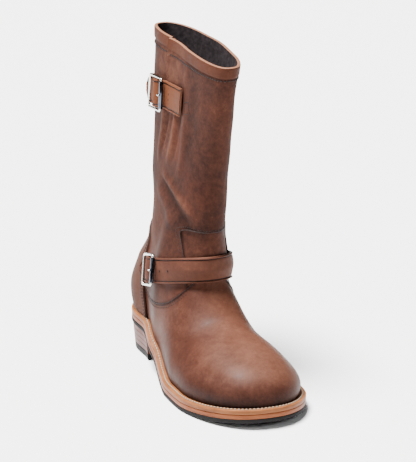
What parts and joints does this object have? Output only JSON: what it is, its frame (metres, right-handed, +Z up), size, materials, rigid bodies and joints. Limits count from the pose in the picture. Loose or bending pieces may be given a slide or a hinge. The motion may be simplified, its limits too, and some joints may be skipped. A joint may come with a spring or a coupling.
{
  "type": "engineer boot",
  "caption": "Tall pull-on leather boot for the right foot, with an instep strap, a strap at the top of the shaft, a stacked heel and an open shaft.",
  "frame": {"origin": "on the floor, in the middle of the heel's underside", "axes": "+Z up, -Y towards the toe, -X to the outer side with the buckles"},
  "size_m": [0.1253, 0.3017, 0.3285],
  "materials": {
    "upper_leather": "oiled pull-up leather, matte, burnished",
    "strap_leather": "oiled pull-up leather with a creased edge line",
    "gusset_leather": "undyed flesh side, matte",
    "insole_board": "matte leather board",
    "sole_leather": "dressed natural edge",
    "heel_leather": "polished stacked edge",
    "outsole_rubber": "matte",
    "polished_nickel": "polished nickel plate"
  },
  "bodies": {
    "root": {"upper": "upper_leather", "counter": "upper_leather", "top_band": "upper_leather", "gusset": "gusset_leather", "insole": "insole_board", "welt": "sole_leather", "midsole": "sole_leather", "outsole": "outsole_rubber", "heel_lift_1": "heel_leather", "heel_lift_2": "heel_leather", "heel_lift_3": "heel_leather", "heel_lift_4": "heel_leather", "top_lift": "outsole_rubber", "instep_strap": "strap_leather", "instep_chape": "strap_leather", "instep_buckle": "polished_nickel", "instep_roller": "polished_nickel", "instep_prong": "polished_nickel", "top_strap": "strap_leather", "top_chape": "strap_leather", "top_buckle": "polished_nickel", "top_roller": "polished_nickel", "top_prong": "polished_nickel"}
  },
  "joints": []
}
